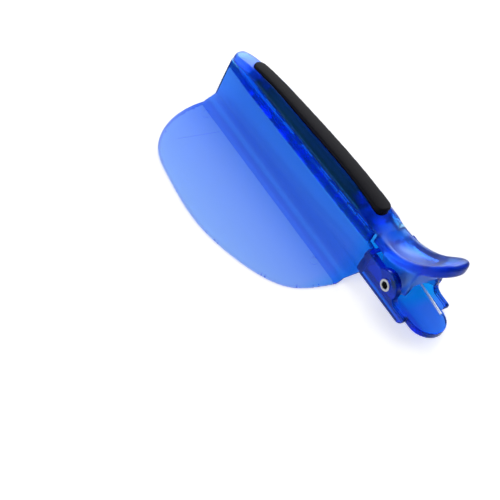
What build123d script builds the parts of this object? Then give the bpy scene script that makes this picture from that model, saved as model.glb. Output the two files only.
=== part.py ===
from build123d import *
import math
import os

# Hair sectioning clip: a hinged pair of plastic levers with a rubber grip and a wide side wing.
# It is drawn as it works: X runs along the clip from the hinge pin towards the tail, Y runs along
# the pin towards the side away from the wing, and Z rises from the flat of the tail.
# At the end every piece is turned about X into the pose in which the clip lies on a table.

# Hinge body and tail, in millimetres
body_width = 19.9
ear_wall = 2.4
ear_radius = 5.1
ear_blend_angle = 16.0
pin_height = 6.4
hinge_front = 12.0
hinge_wall_top = 9.3
bulkhead_wall = 1.8
bulkhead_height = 8.9
tail_plate = 2.4
tail_wall_top = 3.4
tail_wall_start = 7.4
tail_wall_end = 12.1
tail_corner = 2.6
tail_edge_round = 0.7
tab_radius = 6.9
tab_centre = 12.7

# Jaws
jaw_rear = 15.5
jaw_tip = 93.6
bend_setback = 12.1
closure_rear_height = 12.1
closure_bend_height = 6.8
nose_drop = 2.4
jaw_rear_half_width = 6.5
jaw_tip_half_width = 4.2
jaw_wall = 1.5
jaw_floor = 1.6
nose_solid = 6.0
tooth_height = 3.0
tooth_length = 5.0
tooth_pitch = 10.0
tooth_count = 7
tooth_depth = 1.7
tooth_side = 0.5
first_tooth_setback = 9.1
closing_gap = 0.3

# Wing, moulded on the lower jaw
wing_wall = 1.4
wing_setback = 5.6
rim_wall = 0.7
rim_overlap = 0.08
wing_rear = 13.5
wing_reach = 27.6
near_wall_setback = 1.6
near_wall_rear = 10.6
hook_run = 1.2
crease_inset = 0.05
crease_radius = 4.2
crease_overlap = 0.3
rest_roll = 23.0

# Upper lever
lever_top = 15.6
lever_inset = 0.15
lever_rear = 17.2
core_front = 23.5
core_half_width = 3.4
core_slope = 2.6
neck_clearance = 1.5
neck_bottom = 9.75
paddle_half_width = 6.8
paddle_thickness = 3.2
paddle_tip_thickness = 4.3
paddle_rim_round = 1.2
paddle_hollow = 1.5
spoon_rise = 0.3
paddle_angle = 46.5
paddle_bend_radius = 26.0
paddle_bend_start = 14.0
paddle_bend_height = 12.6
paddle_length = 9.8
cheek_wall = 1.5
cheek_clearance = 0.5
cheek_radius = 3.6
cheek_front = 8.2
cheek_front_angle = 222.0
cheek_rear_angle = -24.0
web_rear = 6.2
web_wall = 1.5
web_arch_height = 10.9
web_arch_half_width = 5.7
web_arch_lean = 0.8
web_foot = 7.0
web_top_share = 0.7

# Rubber grip
pad_setback = 7.5
pad_rear = 19.0
pad_half_width = 3.05
pad_front_half_width = 2.15
pad_top = 16.5
pad_crown = 0.8
pad_sink = 0.7
lining_setback = 12.6
lining_rear = 25.0
lining_thickness = 1.2
lining_lip = 0.8
stem_setback = 17.6
stem_rear = 31.0
stem_half_width = 1.4
rubber_clearance = 0.05

# Rivet and spring
rivet_shank_radius = 1.55
rivet_bore_radius = 1.2
rivet_head_radius = 2.1
rivet_head_thickness = 0.45
running_clearance = 0.06
fixed_clearance = 0.03
wire_diameter = 0.9
coil_inner_radius = 1.85
coil_pitch = 0.92
coil_clearance = 0.3
coil_groove_share = 0.6
coil_flat_share = 0.22
coil_leg_reach = 14.1
leg_seat_gap = 0.06
turn_gap = 0.2
arm_leg_length = 6.2
arm_leg_angle = 55.0
leg_thinning = 0.94

half_width = body_width / 2
jaw_bend = jaw_tip - bend_setback
first_tooth = jaw_tip - first_tooth_setback
wing_front = jaw_tip - wing_setback
near_wall_front = jaw_tip - near_wall_setback
pad_front = jaw_tip - pad_setback
lining_front = jaw_tip - lining_setback
stem_front = jaw_tip - stem_setback
cheek_outer = half_width - ear_wall - cheek_clearance
cheek_inner = cheek_outer - cheek_wall
roll = math.radians(rest_roll)
jaw_length = jaw_tip - jaw_rear


def closure_height(x):
    """Height of the line where the jaws meet, at a distance x in front of the pin."""
    slope = (closure_rear_height - closure_bend_height) / (jaw_bend - jaw_rear)
    return closure_rear_height - slope * (x - jaw_rear)


def jaw_half_width(x):
    """Half width of the jaws at a distance x in front of the pin."""
    share = (x - jaw_rear) / jaw_length
    return jaw_rear_half_width + (jaw_tip_half_width - jaw_rear_half_width) * share


def closure_line(lift, end):
    """The closing line from x = end to the tip, raised by lift: a straight jaw and a drooping nose."""
    bend = (-jaw_bend, closure_height(jaw_bend) + lift)
    Line((-end, closure_height(end) + lift), bend)
    run = (jaw_bend - end, closure_height(end) - closure_height(jaw_bend))
    TangentArc(bend, (-jaw_tip, closure_height(jaw_tip) - nose_drop + lift), tangent=(-run[0], -run[1]))


def jaw_outline(inset, rear):
    """Plan of the jaws: two long sides that converge on a round nose, closed at the rear."""
    nose_radius = jaw_tip_half_width - inset
    nose_centre = -jaw_tip + inset + nose_radius
    rear_half = jaw_half_width(rear) - inset
    Polyline((nose_centre, -nose_radius), (-rear, -rear_half), (-rear, rear_half), (nose_centre, nose_radius))
    ThreePointArc((nose_centre, nose_radius), (-jaw_tip + inset, 0), (nose_centre, -nose_radius))


# Lower lever, one moulding. First its tall near wall, which bends at the crease into the wing
wing_normal = (-math.sin(roll), math.cos(roll))
crease_y = -half_width + crease_inset
crease_z = (wing_wall - math.sin(roll) * (half_width - crease_y)) / math.cos(roll)
crease_sweep = math.pi / 2 - roll
crease_run = crease_radius * math.tan(crease_sweep / 2)


def on_crease(radius, angle):
    """Point on an arc about the crease's centre, at an angle below the horizontal, in the YZ plane."""
    y = crease_y - crease_radius + radius * math.cos(angle)
    return (y, crease_z + crease_run - radius * math.sin(angle))


# Rows along the wall: place, bulge of the shoulder and depth where the wall turns upright, as shares.
# Beside the nose its top edge is thin and stands clear of the upper lever
near_wall_rows = [
    {"along": 1.0, "bulge": 0.18, "upright": 0.52, "clear": 1},
    {"along": 0.92, "bulge": 0.21, "upright": 0.48, "clear": 1},
    {"along": 0.60, "bulge": 0.27, "upright": 0.29, "clear": 0},
    {"along": 0.0, "bulge": 0.40, "upright": 0.0, "clear": 0},
]


def near_wall_face(row, x):
    """Closed section of the near wall: shoulder, upright wall, crease and the root of the wing."""
    edge_wall = wing_wall - (wing_wall - rim_wall) * row["clear"]
    outward = (rim_wall - rim_overlap) * row["clear"]
    top = (-jaw_half_width(x) - outward, closure_height(x) - closing_gap / 2)
    upright = (crease_y, crease_z * row["upright"])
    run_y, run_z = upright[0] - top[0], upright[1] - top[1]
    length = math.hypot(run_y, run_z)
    out = (run_z / length, -run_y / length)
    bulge = row["bulge"] * crease_radius
    shoulder = ((top[0] + upright[0]) / 2 + out[0] * bulge, (top[1] + upright[1]) / 2 + out[1] * bulge)
    inner_shoulder = (shoulder[0] - out[0] * wing_wall, shoulder[1] - out[1] * wing_wall)
    inner_radius = crease_radius + wing_wall
    ThreePointArc(top, shoulder, upright)
    Line(upright, on_crease(crease_radius, 0))
    ThreePointArc(*[on_crease(crease_radius, crease_sweep * share) for share in (0, 0.5, 1)])
    Line(on_crease(crease_radius, crease_sweep), on_crease(inner_radius, crease_sweep))
    ThreePointArc(*[on_crease(inner_radius, crease_sweep * share) for share in (1, 0.5, 0)])
    Line(on_crease(inner_radius, 0), (crease_y + wing_wall, upright[1]))
    ThreePointArc((crease_y + wing_wall, upright[1]), inner_shoulder, (top[0] + edge_wall, top[1]))
    Line((top[0] + edge_wall, top[1]), top)


edge_back = 0.8
edge_top_back = 0.4
edge_hollow = 0.6

with BuildPart() as near_wall:
    for row in near_wall_rows:
        x = near_wall_rear + row["along"] * (near_wall_front - near_wall_rear)
        with BuildSketch(Plane.YZ.offset(-x)):
            with BuildLine():
                near_wall_face(row, x)
            make_face()
    loft()
    # Trimmed to the front and rear edges that show from the side; the front edge is a little hollow
    with BuildSketch(Plane.XZ):
        with BuildLine():
            low_front = (-wing_front + edge_back, crease_z * near_wall_rows[0]["upright"])
            top_front = (-near_wall_front + edge_top_back, closure_height(near_wall_front) - closing_gap / 2)
            hollow_front = ((low_front[0] + top_front[0]) / 2 + edge_hollow, (low_front[1] + top_front[1]) / 2)
            ThreePointArc(low_front, hollow_front, top_front)
            Polyline(
                top_front,
                (-jaw_rear, closure_height(jaw_rear) - closing_gap / 2),
                (-jaw_rear + hook_run, hinge_wall_top),
                (-hinge_front + bulkhead_wall, hinge_wall_top),
                (-hinge_front + bulkhead_wall, 0),
                (-wing_rear, crease_z),
                (-wing_rear, crease_z - wing_wall * 2),
                (-wing_front, crease_z - wing_wall * 2),
                (-wing_front, crease_z),
                low_front,
            )
        make_face()
    extrude(amount=half_width * 2, both=True, mode=Mode.INTERSECT)

# Outline of the wing: distance from its front edge and reach from the crease, as shares
wing_outline = [
    {"along": -0.009, "reach": 0.32},
    {"along": 0.02, "reach": 0.65},
    {"along": 0.08, "reach": 0.84},
    {"along": 0.212, "reach": 0.946},
    {"along": 0.463, "reach": 0.998},
    {"along": 0.662, "reach": 0.899},
    {"along": 0.835, "reach": 0.717},
    {"along": 0.915, "reach": 0.554},
    {"along": 0.965, "reach": 0.333},
]
wing_length = wing_front - wing_rear
wing_plane = Plane(
    origin=(-wing_front, crease_y, crease_z),
    x_dir=(1, 0, 0),
    z_dir=(0, wing_normal[0], wing_normal[1]),
)

with BuildPart() as wing:
    with BuildSketch(wing_plane):
        with BuildLine():
            root = -crease_run + crease_overlap
            points = [(row["along"] * wing_length, -row["reach"] * wing_reach) for row in wing_outline]
            Spline((0, root), *points, (wing_length, root))
            Line((wing_length, root), (0, root))
        make_face()
    extrude(amount=-wing_wall)

with BuildPart() as tail:
    # Floor of the tail, with the round thumb tab
    with BuildSketch(Plane.XY):
        with BuildLine():
            Polyline(
                (tab_centre, tab_radius),
                (-hinge_front, tab_radius),
                (-hinge_front, -tab_radius),
                (tab_centre, -tab_radius),
            )
            ThreePointArc((tab_centre, -tab_radius), (tab_centre + tab_radius, 0), (tab_centre, tab_radius))
        make_face()
    extrude(amount=tail_plate)
    # Side wall with its ear, and the same on the other side
    with BuildSketch(Plane.XZ.offset(half_width)):
        blend = math.radians(ear_blend_angle)
        blend_end = (ear_radius * math.cos(blend), pin_height - ear_radius * math.sin(blend))
        blend_turn = (
            blend_end[0] + (tail_wall_start - blend_end[0]) / 3,
            tail_wall_top + (blend_end[1] - tail_wall_top) / 3,
        )
        with BuildLine():
            FilletPolyline(
                (-hinge_front, 0),
                (tail_wall_end, 0),
                (tail_wall_end, tail_wall_top),
                (tail_wall_start, tail_wall_top),
                radius=[tail_corner, tail_edge_round],
            )
            ThreePointArc((tail_wall_start, tail_wall_top), blend_turn, blend_end)
            Polyline(blend_end, (0, hinge_wall_top), (-hinge_front, hinge_wall_top), (-hinge_front, 0))
        make_face()
        with Locations((0, pin_height)):
            Circle(ear_radius)
    extrude(amount=-ear_wall)
    mirror(about=Plane.XZ)
    # Bulkhead that ties the walls to the jaw tray
    with Locations((-hinge_front + bulkhead_wall / 2, 0, bulkhead_height / 2)):
        Box(bulkhead_wall, body_width, bulkhead_height)
    # Bore for the rivet
    with Locations(Location((0, 0, pin_height), (90, 0, 0))):
        Hole(rivet_shank_radius + fixed_clearance)

with BuildPart() as jaw_tray:
    depth = tooth_height + jaw_floor
    with BuildSketch(Plane.XZ):
        with BuildLine():
            closure_line(-closing_gap / 2, jaw_rear)
            Polyline(
                (-jaw_rear, closure_height(jaw_rear) - closing_gap / 2),
                (-jaw_rear, closure_height(jaw_rear) - depth),
                (-jaw_bend, closure_height(jaw_bend) - depth),
                (-jaw_tip, closure_height(jaw_tip) - nose_drop - jaw_floor),
                (-jaw_tip, closure_height(jaw_tip) - nose_drop - closing_gap / 2),
            )
        make_face()
    extrude(amount=jaw_rear_half_width, both=True)
    with BuildSketch(Plane.XY):
        with BuildLine():
            jaw_outline(0, jaw_rear)
        make_face()
    extrude(amount=closure_rear_height * 2, both=True, mode=Mode.INTERSECT)
    # The hollow of the tray, open at the rear
    with BuildSketch(Plane.XZ):
        hollow_front = jaw_bend + nose_solid
        with BuildLine():
            Polyline(
                (0, closure_rear_height * 2),
                (0, closure_height(0) - tooth_height),
                (-jaw_bend, closure_height(jaw_bend) - tooth_height),
                (-hollow_front, closure_height(jaw_bend) - tooth_height),
                (-hollow_front, closure_rear_height * 2),
                close=True,
            )
        make_face()
    hollow_side = extrude(amount=half_width, both=True, mode=Mode.PRIVATE)
    with BuildSketch(Plane.XY):
        with BuildLine():
            jaw_outline(jaw_wall, jaw_rear)
        make_face()
    hollow = hollow_side & extrude(amount=closure_rear_height * 2, mode=Mode.PRIVATE)
    add(hollow, mode=Mode.SUBTRACT)
    # Square teeth along both walls
    for index in range(tooth_count):
        place = first_tooth - tooth_pitch * index - tooth_length / 2
        reach = jaw_half_width(place) - jaw_wall / 2
        height = closure_height(place) - tooth_height / 2 - closing_gap
        with Locations((-place, 0, height)):
            Box(tooth_length, reach * 2, tooth_height)
        with Locations((-place, 0, height + jaw_wall / 2)):
            width = (reach - tooth_depth) * 2
            Box(tooth_length + tooth_side * 2, width, tooth_height + jaw_wall, mode=Mode.SUBTRACT)
    # Floor that carries the tray on the bulkhead
    floor_top = closure_height(jaw_rear) - tooth_height
    with BuildSketch(Plane.XZ):
        with BuildLine():
            Polyline(
                (-jaw_rear - jaw_wall, floor_top),
                (-jaw_rear - jaw_wall, floor_top - jaw_floor),
                (-hinge_front + bulkhead_wall, bulkhead_height - jaw_floor),
                (-hinge_front + bulkhead_wall, bulkhead_height),
                (-hinge_front, bulkhead_height),
                close=True,
            )
        make_face()
    extrude(amount=jaw_rear_half_width, both=True)

with BuildPart() as lower_arm:
    add(tail.part)
    add(near_wall.part)
    add(jaw_tray.part)
    add(wing.part)
lower_arm.part.label = "lower_arm"

# Upper lever, one moulding: bowed bar, neck, hollow paddle, two cheeks on the pin and the rear web.
# Rows along the bar: place behind the nose, height and half width of its top, height of its side
lever_rows = [
    {"along": 1.0, "top": 0.375, "half": 0.22, "side": 0.45},
    {"along": 0.938, "top": 0.475, "half": 0.33, "side": 0.36},
    {"along": 0.834, "top": 0.645, "half": 0.39, "side": 0.36},
    {"along": 0.576, "top": 0.815, "half": 0.46, "side": 0.28},
    {"along": 0.317, "top": 0.955, "half": 0.48, "side": 0.25},
    {"along": 0.149, "top": 1.0, "half": 0.49, "side": 0.25},
    {"along": 0.084, "top": 0.965, "half": 0.52, "side": 0.28},
    {"along": 0.022, "top": 0.84, "half": 0.70, "side": 0.45},
]
bend = math.radians(paddle_angle)
paddle_outer = paddle_bend_radius + paddle_thickness


def on_bend(radius, angle):
    """Point on the paddle's bend, at an angle from straight down, in the XZ plane."""
    centre_z = paddle_bend_height + paddle_bend_radius
    return (-paddle_bend_start + radius * math.sin(angle), centre_z - radius * math.cos(angle))


def along_paddle(distance, depth):
    """Point of the straight end of the paddle, below its rim by depth."""
    x, z = on_bend(paddle_bend_radius + depth, bend)
    return (x + distance * math.cos(bend), z + distance * math.sin(bend))


def on_rim(point):
    """Whether a point lies on the paddle's upper rim, outside the middle and behind the neck."""
    across, up = point.X + paddle_bend_start, point.Z - paddle_bend_height - paddle_bend_radius
    depth = math.hypot(across, up) - paddle_bend_radius
    if math.atan2(across, -up) > bend:
        depth = across * math.sin(bend) - up * math.cos(bend) - paddle_bend_radius
    return abs(depth) < closing_gap and point.X > -hinge_front and abs(point.Y) > paddle_half_width / 2


def round_pin(angle):
    """Point on the edge of a cheek, round the pin, in the XZ plane."""
    turn = math.radians(angle)
    return (cheek_radius * math.cos(turn), pin_height + cheek_radius * math.sin(turn))


with BuildPart() as lever_bar:
    for row in lever_rows:
        x = jaw_rear + row["along"] * jaw_length
        low = closure_height(x) - nose_drop * (max(x - jaw_bend, 0) / (jaw_tip - jaw_bend)) ** 2
        side = low + row["side"] * (row["top"] * lever_top - low)
        wide = jaw_half_width(x) - lever_inset
        half = row["half"] * jaw_rear_half_width
        with BuildSketch(Plane.YZ.offset(-x)):
            with BuildLine():
                Polyline(
                    (-wide, low - nose_drop),
                    (wide, low - nose_drop),
                    (wide, side),
                    (half, row["top"] * lever_top),
                    (-half, row["top"] * lever_top),
                    (-wide, side),
                    close=True,
                )
            make_face()
    loft()
    with BuildSketch(Plane.XY):
        with BuildLine():
            jaw_outline(lever_inset, lever_rear)
        make_face()
    extrude(amount=closure_rear_height * 2, both=True, mode=Mode.INTERSECT)
    with BuildSketch(Plane.XZ):
        with BuildLine():
            closure_line(closing_gap / 2, lever_rear)
            Polyline(
                (-lever_rear, closure_height(lever_rear) + closing_gap / 2),
                (-lever_rear, closure_rear_height * 2),
                (-jaw_tip, closure_rear_height * 2),
                (-jaw_tip, closure_height(jaw_tip) - nose_drop + closing_gap / 2),
            )
        make_face()
    extrude(amount=half_width, both=True, mode=Mode.INTERSECT)

with BuildPart() as paddle:
    underside = math.acos((paddle_bend_height + paddle_bend_radius - neck_bottom) / paddle_outer)
    rear_top = lever_rows[-2]["top"] * lever_top - pad_sink
    with BuildSketch(Plane.XZ):
        with BuildLine():
            Polyline(
                (-core_front, rear_top),
                (-core_front, neck_bottom + core_slope),
                (-core_front + core_slope, neck_bottom),
                on_bend(paddle_outer, underside),
            )
            ThreePointArc(*[on_bend(paddle_outer, underside + (bend - underside) * s) for s in (0, 0.5, 1)])
            Line(on_bend(paddle_outer, bend), along_paddle(paddle_length, paddle_tip_thickness))
            ThreePointArc(
                along_paddle(paddle_length, paddle_tip_thickness),
                along_paddle(paddle_length + paddle_tip_thickness / 2, paddle_tip_thickness / 2),
                along_paddle(paddle_length, 0),
            )
            Line(along_paddle(paddle_length, 0), on_bend(paddle_bend_radius, bend))
            ThreePointArc(*[on_bend(paddle_bend_radius, bend * share) for share in (1, 0.5, 0)])
            Spline(on_bend(paddle_bend_radius, 0), (-core_front, rear_top), tangents=[(-1, 0), (-1, 0.2)])
        make_face()
    extrude(amount=paddle_half_width, both=True)
    # Plan of the paddle: a narrow neck, long sides and a round end
    tip = along_paddle(paddle_length + paddle_tip_thickness / 2, paddle_tip_thickness / 2)[0]
    sides = [
        (-core_front, core_half_width),
        (-lever_rear, jaw_rear_half_width - lever_inset),
        (0, paddle_half_width - lever_inset),
        (tip - paddle_half_width, paddle_half_width),
    ]
    with BuildSketch(Plane.XY):
        with BuildLine():
            Polyline(*sides)
            ThreePointArc(sides[-1], (tip, 0), (sides[-1][0], -sides[-1][1]))
            Polyline(*[(x, -y) for x, y in reversed(sides)], sides[0])
        make_face()
    extrude(amount=paddle_length * 4, mode=Mode.INTERSECT)
    rim = [edge for edge in paddle.edges() if on_rim(edge.center())]
    fillet(rim, radius=paddle_rim_round)
    # Room for the side walls of the tray on both sides of the core
    with BuildSketch(Plane.XZ):
        with BuildLine():
            Polyline(
                (-core_front * 2, closure_height(core_front * 2) + closing_gap / 2),
                (-jaw_rear + neck_clearance, closure_height(jaw_rear) + closing_gap / 2),
                (-jaw_rear + neck_clearance, 0),
                (-core_front * 2, 0),
                close=True,
            )
        make_face()
    below = extrude(amount=half_width, both=True, mode=Mode.PRIVATE)
    core = Box(core_front * 4, core_half_width * 2, closure_rear_height * 4, mode=Mode.PRIVATE)
    add(below - core, mode=Mode.SUBTRACT)

with BuildPart() as cheeks:
    middle = paddle_bend_radius + paddle_thickness * web_top_share
    web_top = on_bend(middle, math.asin((web_rear + paddle_bend_start) / middle))
    with BuildSketch(Plane.XZ):
        with BuildLine():
            Polyline(
                (-cheek_front, neck_bottom + paddle_thickness / 2),
                (-cheek_front, neck_bottom - running_clearance),
                round_pin(cheek_front_angle),
                round_pin(cheek_rear_angle),
                (web_rear, web_foot),
                web_top,
                close=True,
            )
        make_face()
        with Locations((0, pin_height)):
            Circle(cheek_radius)
    extrude(amount=cheek_outer, both=True)
    # Open between the cheeks, up to the rear web
    with Locations((web_rear - web_wall - core_front, 0, 0)):
        Box(core_front * 2, cheek_inner * 2, lever_top * 4, mode=Mode.SUBTRACT)
    # Arch through the web
    with BuildSketch(Plane.YZ):
        with BuildLine():
            Polyline(
                (-web_arch_half_width - web_arch_lean, 0),
                (-web_arch_half_width, web_foot),
                (-web_arch_half_width + web_arch_lean, web_arch_height),
                (web_arch_half_width - web_arch_lean, web_arch_height),
                (web_arch_half_width, web_foot),
                (web_arch_half_width + web_arch_lean, 0),
                close=True,
            )
        make_face()
    extrude(amount=web_rear * 2, mode=Mode.SUBTRACT)
    with Locations(Location((0, 0, pin_height), (90, 0, 0))):
        Hole(rivet_shank_radius + running_clearance)

# Hollow of the paddle: rows along its bend and its straight end, as shares
spoon_rows = [
    {"bend": 0.02, "end": 0, "depth": 0.05, "half": 0.54},
    {"bend": 0.4, "end": 0, "depth": 0.85, "half": 0.80},
    {"bend": 1.0, "end": 0, "depth": 1.0, "half": 0.88},
    {"bend": 1.0, "end": 0.82, "depth": 0.8, "half": 0.70},
]
with BuildPart() as spoon:
    for row in spoon_rows:
        angle = bend * row["bend"]
        x, z = on_bend(paddle_bend_radius, angle)
        along = (math.cos(angle), 0, math.sin(angle))
        step = row["end"] * paddle_length
        half, deep = row["half"] * paddle_half_width, row["depth"] * paddle_hollow
        with BuildSketch(Plane((x + step * along[0], 0, z + step * along[2]), x_dir=(0, 1, 0), z_dir=along)):
            with BuildLine():
                ThreePointArc((-half, spoon_rise), (0, -deep), (half, spoon_rise))
                Polyline(
                    (half, spoon_rise),
                    (half, paddle_thickness),
                    (-half, paddle_thickness),
                    (-half, spoon_rise),
                )
            make_face()
    loft()

# Rows along the rubber pad: place from rear to front, height of its seat and of its top edge, as shares
pad_rows = [
    {"along": -0.03, "seat": 0.83, "edge": 1.0},
    {"along": 0.03, "seat": 0.855, "edge": 0.995},
    {"along": 0.16, "seat": 0.90, "edge": 0.98},
    {"along": 0.27, "seat": 0.895, "edge": 0.957},
    {"along": 0.45, "seat": 0.825, "edge": 0.888},
    {"along": 0.62, "seat": 0.74, "edge": 0.805},
    {"along": 0.77, "seat": 0.66, "edge": 0.722},
    {"along": 0.94, "seat": 0.56, "edge": 0.60},
    {"along": 1.03, "seat": 0.44, "edge": 0.475},
]


def pad_middle(x):
    """Height half way between the pad's seat and its top edge, at a distance x in front of the pin."""
    along = (x - pad_rear) / (pad_front - pad_rear)
    for first, second in zip(pad_rows, pad_rows[1:]):
        if first["along"] <= along <= second["along"]:
            share = (along - first["along"]) / (second["along"] - first["along"])
            heights = [(row["seat"] + row["edge"]) / 2 * pad_top for row in (first, second)]
            return heights[0] + (heights[1] - heights[0]) * share


def pad_body(grow, rise):
    """The pad between its seat and its crowned top, grown all round and raised for its pocket."""
    with BuildPart() as body:
        for row in pad_rows:
            x = pad_rear + row["along"] * (pad_front - pad_rear)
            half = pad_half_width + grow + lever_inset
            low, high = row["seat"] * pad_top - grow, row["edge"] * pad_top + rise
            with BuildSketch(Plane.YZ.offset(-x)):
                with BuildLine():
                    Polyline((-half, high), (-half, low), (half, low), (half, high))
                    ThreePointArc((half, high), (0, high + pad_crown), (-half, high))
                make_face()
        loft()
        # Its plan: two sides that converge towards the nose, and round ends
        front, rear = pad_front_half_width + grow, pad_half_width + grow
        front_x, rear_x = -pad_front + pad_front_half_width, -pad_rear - pad_half_width
        with BuildSketch(Plane.XY):
            with BuildLine():
                Line((front_x, -front), (rear_x, -rear))
                ThreePointArc((rear_x, -rear), (rear_x + rear, 0), (rear_x, rear))
                Line((rear_x, rear), (front_x, front))
                ThreePointArc((front_x, front), (front_x - front, 0), (front_x, -front))
            make_face()
        extrude(amount=pad_top * 2, mode=Mode.INTERSECT)
    return body.part


def lining_body(grow):
    """The gripping strip in the underside of the upper jaw, with the stem that holds it to the pad."""
    low = closing_gap / 2
    with BuildPart() as body:
        with BuildSketch(Plane.XZ):
            with BuildLine():
                front, rear = lining_front + grow, lining_rear - grow
                Polyline(
                    (-front, closure_height(front) + low - grow),
                    (-rear, closure_height(rear) + low - grow),
                    (-rear, closure_height(rear) + low + lining_thickness + grow),
                    (-front, closure_height(front) + low + lining_thickness + grow),
                    close=True,
                )
            make_face()
        extrude(amount=half_width, both=True)
        with BuildSketch(Plane.XY):
            with BuildLine():
                jaw_outline(lever_inset + lining_lip - grow, lining_rear - grow)
            make_face()
        extrude(amount=pad_top, mode=Mode.INTERSECT)
        with BuildSketch(Plane.XZ):
            with BuildLine():
                middle = (stem_front + stem_rear) / 2
                Polyline(
                    (-stem_front - grow, closure_height(stem_front) + low + lining_thickness / 2),
                    (-stem_rear + grow, closure_height(stem_rear) + low + lining_thickness / 2),
                    (-stem_rear + grow, pad_middle(stem_rear)),
                    (-middle, pad_middle(middle)),
                    (-stem_front - grow, pad_middle(stem_front)),
                    close=True,
                )
            make_face()
        extrude(amount=stem_half_width + grow, both=True)
    return body.part


with BuildPart() as grip_pad:
    add(pad_body(0, 0))
    add(lining_body(0))
grip_pad.part.label = "grip_pad"

with BuildPart() as upper_arm:
    add(lever_bar.part)
    add(paddle.part)
    add(cheeks.part)
    add(spoon.part, mode=Mode.SUBTRACT)
    add(pad_body(rubber_clearance, pad_top), mode=Mode.SUBTRACT)
    add(lining_body(rubber_clearance), mode=Mode.SUBTRACT)
upper_arm.part.label = "upper_arm"

# Tubular rivet through the ears and the cheeks, flanged at both ends
with BuildPart() as hinge_rivet:
    with Locations(Location((0, 0, pin_height), (90, 0, 0))):
        Cylinder(rivet_shank_radius, body_width + fixed_clearance * 2)
    for side in (-1, 1):
        place = side * (half_width + fixed_clearance + rivet_head_thickness / 2)
        with Locations(Location((0, place, pin_height), (90, 0, 0))):
            Cylinder(rivet_head_radius, rivet_head_thickness)
    with Locations(Location((0, 0, pin_height), (90, 0, 0))):
        Hole(rivet_bore_radius)
hinge_rivet.part.label = "hinge_rivet"

# Torsion spring: its turns lie close, so they are one grooved tube. One leg lies on the thumb tab
coil_side = cheek_inner - coil_clearance
coil_room = coil_side + cheek_inner - coil_clearance - turn_gap - wire_diameter
coil_turns = int(coil_room / coil_pitch)
coil_radius = coil_inner_radius + wire_diameter / 2
coil_groove_radius = coil_inner_radius + wire_diameter * coil_groove_share
pin_axis = Axis((0, 0, pin_height), (0, 1, 0))

with BuildPart() as spring_coil:
    with BuildSketch(Plane.XY.offset(pin_height)):
        with BuildLine():
            turns = [coil_side - coil_pitch * index for index in range(coil_turns + 1)]
            outer = coil_inner_radius + wire_diameter
            flat = coil_pitch * coil_flat_share
            for first, second in zip(turns, turns[1:]):
                crest = (first + second) / 2
                Polyline(
                    (coil_groove_radius, first),
                    (outer, crest + flat),
                    (outer, crest - flat),
                    (coil_groove_radius, second),
                )
            Polyline(
                (coil_groove_radius, turns[-1]),
                (coil_inner_radius, turns[-1]),
                (coil_inner_radius, turns[0]),
                (coil_groove_radius, turns[0]),
            )
        make_face()
    revolve(axis=pin_axis)
    leg_y = coil_side - wire_diameter / 2
    start = (0, leg_y, pin_height - coil_radius)
    drop = start[2] - (tail_plate + leg_seat_gap + wire_diameter / 2)
    with BuildSketch(Plane(start, z_dir=(coil_leg_reach, 0, -drop))):
        Circle(wire_diameter / 2 * leg_thinning)
    extrude(amount=math.hypot(coil_leg_reach, drop))
spring_coil.part.label = "spring_coil"

with BuildPart() as spring_arm_leg:
    turn_y = turns[-1] - turn_gap - wire_diameter / 2
    with BuildSketch(Plane.XY.offset(pin_height)):
        with Locations((coil_radius, turn_y)):
            Circle(wire_diameter / 2)
    revolve(axis=pin_axis)
    lean = math.radians(arm_leg_angle)
    start = (-coil_radius * math.sin(lean), turn_y, pin_height + coil_radius * math.cos(lean))
    with BuildSketch(Plane(start, z_dir=(math.cos(lean), 0, math.sin(lean)))):
        Circle(wire_diameter / 2 * leg_thinning)
    extrude(amount=arm_leg_length)
spring_arm_leg.part.label = "spring_arm_leg"

# The pose on the table: rolled about X until the wing lies flat, centred, lowest point at zero
pieces = [lower_arm, upper_arm, grip_pad, hinge_rivet, spring_coil, spring_arm_leg]
rolled = [Rot(-rest_roll, 0, 0) * piece.part for piece in pieces]
box = Compound(rolled).bounding_box()
centred = Pos(-(box.min.X + box.max.X) / 2, -(box.min.Y + box.max.Y) / 2, -box.min.Z)

os.makedirs("parts", exist_ok=True)
for piece, turned in zip(pieces, rolled):
    lying = centred * turned
    lying.label = piece.part.label
    export_step(lying, "parts/" + lying.label + ".step")
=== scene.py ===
import math

import bmesh
import bpy
from mathutils import Matrix, Vector


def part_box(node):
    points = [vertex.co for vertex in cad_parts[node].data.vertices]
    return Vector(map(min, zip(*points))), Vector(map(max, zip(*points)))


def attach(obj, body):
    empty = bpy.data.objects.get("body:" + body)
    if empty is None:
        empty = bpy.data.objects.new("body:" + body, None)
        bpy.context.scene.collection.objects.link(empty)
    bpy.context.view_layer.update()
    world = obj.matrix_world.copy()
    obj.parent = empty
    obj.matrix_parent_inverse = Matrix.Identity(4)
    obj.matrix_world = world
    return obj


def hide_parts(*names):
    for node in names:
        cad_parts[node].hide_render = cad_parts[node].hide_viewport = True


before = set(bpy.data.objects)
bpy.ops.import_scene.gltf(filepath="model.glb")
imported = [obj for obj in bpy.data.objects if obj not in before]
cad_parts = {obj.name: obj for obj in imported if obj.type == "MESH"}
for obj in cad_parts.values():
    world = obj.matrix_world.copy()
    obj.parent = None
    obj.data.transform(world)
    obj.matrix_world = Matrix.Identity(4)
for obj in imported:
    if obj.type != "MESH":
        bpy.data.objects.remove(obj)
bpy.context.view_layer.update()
scene = bpy.context.scene
MM = 0.001

# Table and studio. A smooth white light table, so large that its edges never show, and the light of a
# photographer's tent: white all round, with broad soft windows that draw soft lights on the curved
# walls. The view transform keeps the plain colours of a shop photograph.
table_half_side = 3.0
table_glow = 0.46
tent_white = "#ffffff"
tent_strength = 0.36
scene.view_settings.view_transform = "Standard"


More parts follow.
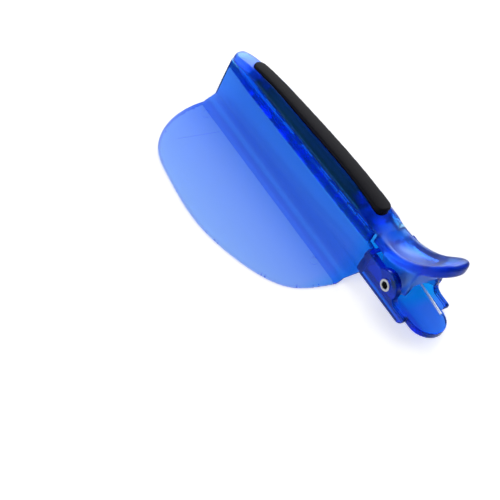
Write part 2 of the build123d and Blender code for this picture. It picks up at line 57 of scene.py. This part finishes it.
def linear(hex_colour):
    """An sRGB hex colour as the linear RGBA value that the shader nodes take."""
    channels = [int(hex_colour[start:start + 2], 16) / 255 for start in (1, 3, 5)]
    return (*[c / 12.92 if c <= 0.04045 else ((c + 0.055) / 1.055) ** 2.4 for c in channels], 1)


def add_node(material, kind, links=None, **settings):
    """A node with its settings. A name of an input sets or links that input, any other a property."""
    tree = material.node_tree
    node = tree.nodes.new(kind)
    for name, value in settings.items():
        setattr(node, name, value)
    for name, value in (links or {}).items():
        if isinstance(value, bpy.types.NodeSocket):
            tree.links.new(value, node.inputs[name])
        else:
            node.inputs[name].default_value = value
    return node


def new_material(name, values):
    """A material with a Principled BSDF whose sockets have these values."""
    material = bpy.data.materials.new(name)
    material.use_nodes = True
    shader = material.node_tree.nodes["Principled BSDF"]
    for socket, value in values.items():
        shader.inputs[socket].default_value = value
    return material, shader


# White acrylic lit from below: matt, evenly bright, so that no shadow on it is dark
acrylic, _ = new_material("white_acrylic", {
    "Base Color": linear("#f6f6f6"),
    "Roughness": 0.95,
    "Emission Color": linear(tent_white),
    "Emission Strength": table_glow,
})
corner_signs = ((-1, -1), (1, -1), (1, 1), (-1, 1))
table_corners = [(x * table_half_side, y * table_half_side, 0) for x, y in corner_signs]
sheet = bpy.data.meshes.new("card_table")
sheet.from_pydata(table_corners, [], [(0, 1, 2, 3)])
sheet.materials.append(acrylic)
table = bpy.data.objects.new("card_table", sheet)
scene.collection.objects.link(table)

world = bpy.data.worlds.new("light_tent")
world.use_nodes = True
world.node_tree.nodes["Background"].inputs["Color"].default_value = linear(tent_white)
world.node_tree.nodes["Background"].inputs["Strength"].default_value = tent_strength
scene.world = world

# Broad soft lights round the table: direction that each comes from, its width in degrees, its strength
soft_lights = {
    "soft_window_front": ((-0.35, -0.83, 0.43), 40, 0.8),
    "soft_window_right": ((0.6, 0.75, 1.0), 40, 0.45),
    "soft_window_back": ((-0.70, 0.70, 0.12), 30, 3.4),
    "soft_window_top": ((-0.35, 0.32, 0.88), 40, 0.5),
}
for name, (direction, spread, strength) in soft_lights.items():
    light = bpy.data.lights.new(name, "SUN")
    light.angle, light.energy = math.radians(spread), strength
    lamp = bpy.data.objects.new(name, light)
    lamp.location = direction
    lamp.rotation_euler = (-Vector(direction)).to_track_quat("-Z", "Y").to_euler()
    scene.collection.objects.link(lamp)

# Camera: a long lens above the near side, turned so that the clip runs from upper left to lower
# right. The picture's middle looks at a point beside the clip, given from the middle of the rivet.
picture_down = Vector((0.752, -0.4599, -0.4718))
look = Vector((-0.3525, 0.3241, -0.8777)).normalized()
aim_from_rivet = Vector((-31.30, -38.657, 5.551)) * MM
picture_pixels = 500
pixels_per_mm = 3.25
distance = 6.0
picture_width = picture_pixels / pixels_per_mm * MM
middle = sum(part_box("hinge_rivet"), Vector()) / 2 + aim_from_rivet
picture_up = -(picture_down - look * picture_down.dot(look)).normalized()
picture_right = look.cross(picture_up)
lens = bpy.data.cameras.new("long_lens")
lens.sensor_width = 36
lens.lens = lens.sensor_width * distance / picture_width
camera = bpy.data.objects.new("camera", lens)
camera.matrix_world = Matrix.Translation(middle - look * distance) @ Matrix(
    (picture_right, picture_up, -look)).transposed().to_4x4()
scene.collection.objects.link(camera)
scene.camera = camera

# Lower lever: one injection moulding in blue-dyed clear plastic, with the tail plate and its round
# thumb tab, the ears, the tray of the jaw with its teeth, the tall near wall and the wing. The tool's
# edges are all broken, so every edge and inner corner of it is a little round.
lower_grain = 0.21 * MM
lower_kept = 0.30
edge_rounds = 12
edge_pull = 0.5
weld_distance = 1e-7
gloss_tint = "#27adff"
dye_tint = "#00bcf9"
dye_density = 640


def settle(piece):
    """The piece with its modifiers made part of its mesh."""
    shown = piece.evaluated_get(bpy.context.evaluated_depsgraph_get())
    piece.data = bpy.data.meshes.new_from_object(shown)
    piece.modifiers.clear()
    piece.data.materials.clear()


def moulded(name, node, grain, rounds, kept, soft_from=None, soft_rounds=0):
    """A moulding with rounded edges and corners, from the merged solid of a node. It is rounded more
    beyond a place along X. Only the given share of its fine skin is kept, most of it round the edges."""
    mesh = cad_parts[node].data.copy()
    piece = bpy.data.objects.new(name, mesh)
    scene.collection.objects.link(piece)
    shape = bmesh.new()
    shape.from_mesh(mesh)
    bmesh.ops.remove_doubles(shape, verts=shape.verts, dist=weld_distance)
    shape.to_mesh(mesh)
    shape.free()
    skin = piece.modifiers.new("skin", "REMESH")
    skin.mode, skin.voxel_size, skin.use_smooth_shade = "VOXEL", grain, True
    rounding = piece.modifiers.new("rounding", "SMOOTH")
    rounding.factor, rounding.iterations = edge_pull, rounds
    settle(piece)
    if soft_rounds:
        soft = piece.vertex_groups.new(name="soft")
        beyond = [vertex.index for vertex in piece.data.vertices if vertex.co.x > soft_from]
        soft.add(beyond, 1.0, "REPLACE")
        softening = piece.modifiers.new("softening", "SMOOTH")
        softening.factor, softening.iterations, softening.vertex_group = edge_pull, soft_rounds, "soft"
    thinning = piece.modifiers.new("thinning", "DECIMATE")
    thinning.ratio = kept
    settle(piece)
    piece.vertex_groups.clear()
    return piece


def dyed_plastic(name, roughness, tint_and_painted_light):
    """Clear dyed plastic whose base colour changes along axes, from (place in millimetres, colour) stops:
    its own tint and painted light.
    """
    material, shader = new_material(name, {
        "Roughness": roughness,
        "IOR": 1.49,
        "Transmission Weight": 1.0,
        "Specular Tint": linear(gloss_tint),
    })
    place = add_node(material, "ShaderNodeTexCoord")
    along = add_node(material, "ShaderNodeSeparateXYZ", {"Vector": place.outputs["Object"]})
    colour = None
    for axis, stops in tint_and_painted_light.items():
        first, last = stops[0][0], stops[-1][0]
        share = add_node(material, "ShaderNodeMapRange", {
            "Value": along.outputs[axis], "From Min": first * MM, "From Max": last * MM})
        ramp_colour = add_node(material, "ShaderNodeValToRGB", {"Fac": share.outputs["Result"]})
        ramp = ramp_colour.color_ramp.elements
        ramp[0].color, ramp[1].color = linear(stops[0][1]), linear(stops[-1][1])
        for at, stop in stops[1:-1]:
            ramp.new((at - first) / (last - first)).color = linear(stop)
        if colour:
            both = add_node(material, "ShaderNodeMix", {0: 1.0, 6: colour, 7: ramp_colour.outputs["Color"]},
                            data_type="RGBA", blend_type="MULTIPLY")
        colour = both.outputs[2] if colour else ramp_colour.outputs["Color"]
    material.node_tree.links.new(colour, shader.inputs["Base Color"])
    dye = add_node(material, "ShaderNodeVolumeAbsorption", {
        "Color": linear(dye_tint), "Density": dye_density})
    output = material.node_tree.nodes["Material Output"]
    material.node_tree.links.new(dye.outputs["Volume"], output.inputs["Volume"])
    return material


# Dyed clear plastic, moulded against a fine satin tool: light goes through it, so a thin wall is a
# bright sky blue and a thick one a deep blue, and what lies behind it shows as a soft dark shape. Its
# base colour is palest at the wing's outer edge, thin plastic with a painted sheen, and deepest along
# the tall wall, thick plastic with painted shade.
wing_plastic_painted_sheen_and_shade = dyed_plastic("dyed_clear_plastic", 0.22, {
    "Y": [
        # palest at the wing's outer edge: thin plastic with a painted sheen
        (-26, "#fff0ff"),
        (-12, "#c8c8ff"),
        (-4, "#869efc"),
        # deepest along the tall wall: thick plastic with painted shade
        (3, "#5e8eec"),
        (8, "#5088e4"),
        (9, "#48b4f0"),
        (12, "#68ccff"),
        (26, "#aaecff"),
    ],
    "X": [
        (18, "#ffffff"),
        (24, "#61ffff"),
        (42, "#61ffff"),
        (46, "#ffdfff"),
    ],
})

lower_moulding = moulded("lower_moulding", "lower_arm", lower_grain, edge_rounds, lower_kept)

# Marks of the tool, cut into the top of the wing: the rings of two pins that pushed the moulding out,
# and the faint straight line where two flows of plastic met
pin_marks = ((13.5, -4.2), (-46.8, -3.8))
pin_mark_radius = 1.25
flow_line = ((-44.2, -16.3), (-39.5, -3.9))
mark_width = 0.26
mark_depth = 0.18
mark_steps = 48
mark_corner = math.radians(50)
cutter_rise = 1
near_line = 2 * MM
wing_top = max(vertex.co.z for vertex in lower_moulding.data.vertices
               if (vertex.co.xy - Vector(flow_line[0]) * MM).length < near_line) / MM
mark_floor = wing_top - mark_depth
cutter_top = wing_top + cutter_rise
cutter = bmesh.new()


def cut_wall(path, closed):
    """A thin upright strip along these points, from the mark's floor to above the wing."""
    section = ((1, mark_floor), (1, cutter_top), (-1, cutter_top), (-1, mark_floor))
    rows = []
    for index, point in enumerate(path):
        before = Vector(path[index - 1] if closed or index else path[index])
        after = Vector(path[(index + 1) % len(path)] if closed or index + 1 < len(path) else path[index])
        side = (after - before).orthogonal().normalized() * mark_width / 2
        rows.append([cutter.verts.new(Vector((*(Vector(point) + side * turn), height)) * MM)
                     for turn, height in section])
    for index in range(len(rows) if closed else len(rows) - 1):
        first, second = rows[index], rows[(index + 1) % len(rows)]
        for corner in range(len(first)):
            after = (corner + 1) % len(first)
            cutter.faces.new((first[corner], first[after], second[after], second[corner]))
    if not closed:
        cutter.faces.new(rows[0])
        cutter.faces.new(rows[-1][::-1])


for x, y in pin_marks:
    turns = [step * math.tau / mark_steps for step in range(mark_steps)]
    ring = [(x + pin_mark_radius * math.cos(turn), y + pin_mark_radius * math.sin(turn)) for turn in turns]
    cut_wall(ring, True)
cut_wall(flow_line, False)
bmesh.ops.recalc_face_normals(cutter, faces=cutter.faces)
cutter_mesh = bpy.data.meshes.new("marks_of_the_tool")
cutter.to_mesh(cutter_mesh)
cutter.free()
marks = bpy.data.objects.new("marks_of_the_tool", cutter_mesh)
scene.collection.objects.link(marks)
pressing = lower_moulding.modifiers.new("pressing", "BOOLEAN")
pressing.operation, pressing.object, pressing.solver = "DIFFERENCE", marks, "EXACT"
settle(lower_moulding)
lower_moulding.data.set_sharp_from_angle(angle=mark_corner)
bpy.data.objects.remove(marks)
lower_moulding.data.materials.append(wing_plastic_painted_sheen_and_shade)
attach(lower_moulding, "lower")
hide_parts("lower_arm")

# Upper lever: a moulding in the same plastic. It has the bowed arm with its nose, the neck, the hollow
# thumb paddle, two cheeks on the pin and the rear web that the spring pushes on. Along the rubber its
# rails are thick and have black behind them, and their base colour is a painted shade of deep navy
# blue; its nose is thin and pale. From the neck the base colour pales towards the paddle's outer end, a
# painted sheen.
upper_grain = 0.21 * MM
upper_kept = 0.60
dish_start = 24 * MM
dish_rounds = 40
lever_plastic_painted_shade_and_sheen = dyed_plastic("dyed_clear_plastic_rails", 0.40, {
    "X": [
        (-56, "#ddcef6"),
        (-50, "#bcbff3"),
        # deep navy along the rubber: painted shade over the thick rails
        (-47, "#1981ce"),
        (16, "#1981ce"),
        # paler from the neck to the paddle's outer end: painted sheen
        (20, "#aae2fc"),
        (36, "#ede7f6"),
        (50, "#fff9f7"),
    ],
})
upper_moulding = moulded(
    "upper_moulding", "upper_arm", upper_grain, edge_rounds, upper_kept, dish_start, dish_rounds)
upper_moulding.data.materials.append(lever_plastic_painted_shade_and_sheen)
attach(upper_moulding, "upper")
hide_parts("upper_arm")

# Rubber grip: black thermoplastic rubber, moulded through the slot of the upper lever, so that the
# crowned pad on top and the gripping strip inside the jaw are one piece.
rubber_grain = 0.22 * MM
rubber_speck = 0.45 * MM
speck_height = 0.06 * MM

# Matt black rubber with a fine speckle of the tool's eroded surface: it hardly shines
rubber, rubber_shader = new_material("black_rubber", {
    "Base Color": linear("#0b0b14"),
    "Roughness": 0.7,
    "Specular IOR Level": 0.12,
})
speck_place = add_node(rubber, "ShaderNodeTexCoord")
speck_noise = add_node(rubber, "ShaderNodeTexNoise", {
    "Vector": speck_place.outputs["Object"], "Scale": 1 / rubber_speck, "Detail": 1.0, "Roughness": 0.5})
specks = add_node(rubber, "ShaderNodeBump", {
    "Height": speck_noise.outputs["Fac"], "Strength": 0.35, "Distance": speck_height})
rubber.node_tree.links.new(specks.outputs["Normal"], rubber_shader.inputs["Normal"])
rubber_moulding = moulded("rubber_grip", "grip_pad", rubber_grain, edge_rounds, 1.0)
rubber_moulding.data.materials.append(rubber)
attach(rubber_moulding, "upper")
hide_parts("grip_pad")

# Rivet: a tube of bright aluminium through the ears and the cheeks, its two ends rolled over into
# flat rings, with small notches where the tool has pressed them.
pin_low, pin_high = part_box("hinge_rivet")
pin_turn = math.radians(-23.0)
pin_place = Matrix.Translation((pin_low + pin_high) / 2) @ Matrix.Rotation(pin_turn, 4, "X")
rivet_half_length = 10.43
rivet_bore = 1.2
rivet_shank = 1.55
rivet_ring = 2.1
ring_thickness = 0.45
ring_steps = 96
notch_count = 6
notch_depth = 0.16
notch_sharpness = 6
lip_step = 15

# Bright aluminium, rolled and tumbled: a pale grey with a soft shine, darker than the steel wire
aluminium, _ = new_material("bright_aluminium", {
    "Base Color": linear("#a9adb3"),
    "Metallic": 1.0,
    "Roughness": 0.32,
})


def turned_ring(name, profile, notch):
    """A ring turned about Y from (radius, place along Y, share of the notches) points, in millimetres."""
    shape = bmesh.new()
    rings = []
    for step in range(ring_steps):
        angle = step * math.tau / ring_steps
        pressed = notch * max(0.0, math.cos(notch_count * angle)) ** notch_sharpness
        ring = []
        for radius, along, share in profile:
            reach = radius + pressed * share
            point = Vector((reach * math.sin(angle), along, reach * math.cos(angle)))
            ring.append(shape.verts.new(pin_place @ (point * MM)))
        rings.append(ring)
    for first, second in zip(rings, rings[1:] + rings[:1]):
        for corner in range(len(profile)):
            after = (corner + 1) % len(profile)
            shape.faces.new((first[corner], first[after], second[after], second[corner]))
    bmesh.ops.recalc_face_normals(shape, faces=shape.faces)
    for face in shape.faces:
        face.smooth = True
    mesh = bpy.data.meshes.new(name)
    shape.to_mesh(mesh)
    shape.free()
    piece = bpy.data.objects.new(name, mesh)
    scene.collection.objects.link(piece)
    return piece


def rolled_end(side):
    """Profile points of a rolled end: from the bore over the round lip to the rim and the shank."""
    lip = ring_thickness / 2
    inner, outer = rivet_bore + lip, rivet_ring - lip
    face = side * (rivet_half_length - lip)
    points = [(inner - lip * math.cos(turn), face + side * lip * math.sin(turn), 1)
              for turn in [math.radians(angle) for angle in range(0, 91, lip_step)]]
    points += [(outer + lip * math.sin(turn), face + side * lip * math.cos(turn), 0)
               for turn in [math.radians(angle) for angle in range(0, 181, lip_step)]]
    return points + [(rivet_shank, face - side * lip, 0)]


rivet = turned_ring("pressed_rivet", rolled_end(1) + rolled_end(-1)[::-1], notch_depth)
rivet.data.materials.append(aluminium)
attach(rivet, "lower")
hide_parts("hinge_rivet")

# Spring: torsion spring of polished steel wire round the rivet. Its turns lie close together, and its
# straight leg lies on the thumb tab.
wire_radius = 0.45
coil_radius = 2.3
coil_pitch = 0.92
coil_first = 4.80
coil_length = 8.3
coil_turns = 9
points_per_turn = 36
leg_reach = 13.7
leg_drop = 1.16
wire_sides = 16
tip_length = 0.5
tip_shares = (0.5, 0.8, 0.97)

# Drawn and polished spring steel: nearly white, with broad soft lights
spring_steel, _ = new_material("polished_spring_steel", {
    "Base Color": linear("#fbfbfc"),
    "Metallic": 1.0,
    "Roughness": 0.45,
})

wire_tree = bpy.data.node_groups.new("drawn_wire", "GeometryNodeTree")
wire_tree.is_modifier = True
wire_tree.interface.new_socket("Line", in_out="INPUT", socket_type="NodeSocketGeometry")
wire_tree.interface.new_socket("Wire radius", in_out="INPUT", socket_type="NodeSocketFloat")
wire_tree.interface.new_socket("Wire finish", in_out="INPUT", socket_type="NodeSocketMaterial")
wire_tree.interface.new_socket("Wire", in_out="OUTPUT", socket_type="NodeSocketGeometry")
wire_in = wire_tree.nodes.new("NodeGroupInput")
wire_out = wire_tree.nodes.new("NodeGroupOutput")
section = wire_tree.nodes.new("GeometryNodeCurvePrimitiveCircle")
section.inputs["Resolution"].default_value = wire_sides
sweep = wire_tree.nodes.new("GeometryNodeCurveToMesh")
sweep.inputs["Fill Caps"].default_value = True
smooth = wire_tree.nodes.new("GeometryNodeSetShadeSmooth")
realize = wire_tree.nodes.new("GeometryNodeRealizeInstances")
finish = wire_tree.nodes.new("GeometryNodeSetMaterial")
for source, target in (
    (wire_in.outputs["Line"], sweep.inputs["Curve"]),
    (wire_in.outputs["Wire radius"], section.inputs["Radius"]),
    (section.outputs["Curve"], sweep.inputs["Profile Curve"]),
    (sweep.outputs["Mesh"], smooth.inputs["Geometry"]),
    (smooth.outputs["Geometry"], realize.inputs["Geometry"]),
    (realize.outputs["Geometry"], finish.inputs["Geometry"]),
    (wire_in.outputs["Wire finish"], finish.inputs["Material"]),
    (finish.outputs["Geometry"], wire_out.inputs["Wire"]),
):
    wire_tree.links.new(source, target)


def drawn_wire(name, points):
    """A wire of the spring along these points about the pin, in millimetres, with softly rounded ends."""
    line = bpy.data.curves.new(name + "_line", "CURVE")
    line.dimensions = "3D"
    spline = line.splines.new("POLY")
    tips = []
    for end, inner in ((points[0], points[1]), (points[-1], points[-2])):
        out = (Vector(end) - Vector(inner)).normalized()
        tips.append([(Vector(end) + out * wire_radius * tip_length * share, math.sqrt(1 - share * share))
                     for share in tip_shares])
    path = tips[0][::-1] + [(Vector(point), 1.0) for point in points] + tips[1]
    spline.points.add(len(path) - 1)
    for target, (point, thickness) in zip(spline.points, path):
        target.co = (*(pin_place @ (point * MM)), 1)
        target.radius = thickness
    source = bpy.data.objects.new(name + "_line", line)
    scene.collection.objects.link(source)
    draw = source.modifiers.new("draw", "NODES")
    draw.node_group = wire_tree
    sockets = {item.name: item.identifier for item in wire_tree.interface.items_tree}
    draw[sockets["Wire radius"]] = wire_radius * MM
    draw[sockets["Wire finish"]] = spring_steel
    shown = source.evaluated_get(bpy.context.evaluated_depsgraph_get())
    mesh = bpy.data.meshes.new_from_object(shown)
    bpy.data.objects.remove(source)
    shape = bmesh.new()
    shape.from_mesh(mesh)
    bmesh.ops.remove_doubles(shape, verts=shape.verts, dist=weld_distance)
    bmesh.ops.recalc_face_normals(shape, faces=shape.faces)
    shape.to_mesh(mesh)
    shape.free()
    piece = bpy.data.objects.new(name, mesh)
    scene.collection.objects.link(piece)
    return piece


def coil_points(first_y, turns, last_y, start_turn=0.0):
    """Points of close turns about the pin, from an angle past straight down, counted in turns. The
    turns end flat at the last place along the pin."""
    steps = round(turns * points_per_turn)
    points = []
    for step in range(steps + 1):
        turn = math.tau * (start_turn - step / points_per_turn)
        y = first_y - coil_pitch * step / points_per_turn
        points.append((coil_radius * math.sin(turn), max(y, last_y), -coil_radius * math.cos(turn)))
    return points


leg_end = (leg_reach, coil_first, -coil_radius - leg_drop)
coil_line = [leg_end] + coil_points(coil_first, coil_turns, coil_first - coil_length)
coil = drawn_wire("spring_wire", coil_line)
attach(coil, "lower")
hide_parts("spring_coil")

# The spring's other leg, with its last turn: it pushes the paddle up, so it moves with the upper lever
push_turn_y = -4.60
push_leg_length = 5.9
push_leg_angle = math.radians(55.0)
push_turns = 0.95
push_turn_start = push_leg_angle / math.tau - 0.5
across, up = math.cos(push_leg_angle), math.sin(push_leg_angle)
push_start = Vector((-coil_radius * up, push_turn_y, coil_radius * across))
push_end = push_start + Vector((across, 0, up)) * push_leg_length
push_line = coil_points(push_turn_y, push_turns, push_turn_y, push_turn_start)[::-1] + [tuple(push_end)]
push_leg = drawn_wire("spring_push_leg", push_line)
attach(push_leg, "upper")
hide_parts("spring_arm_leg")
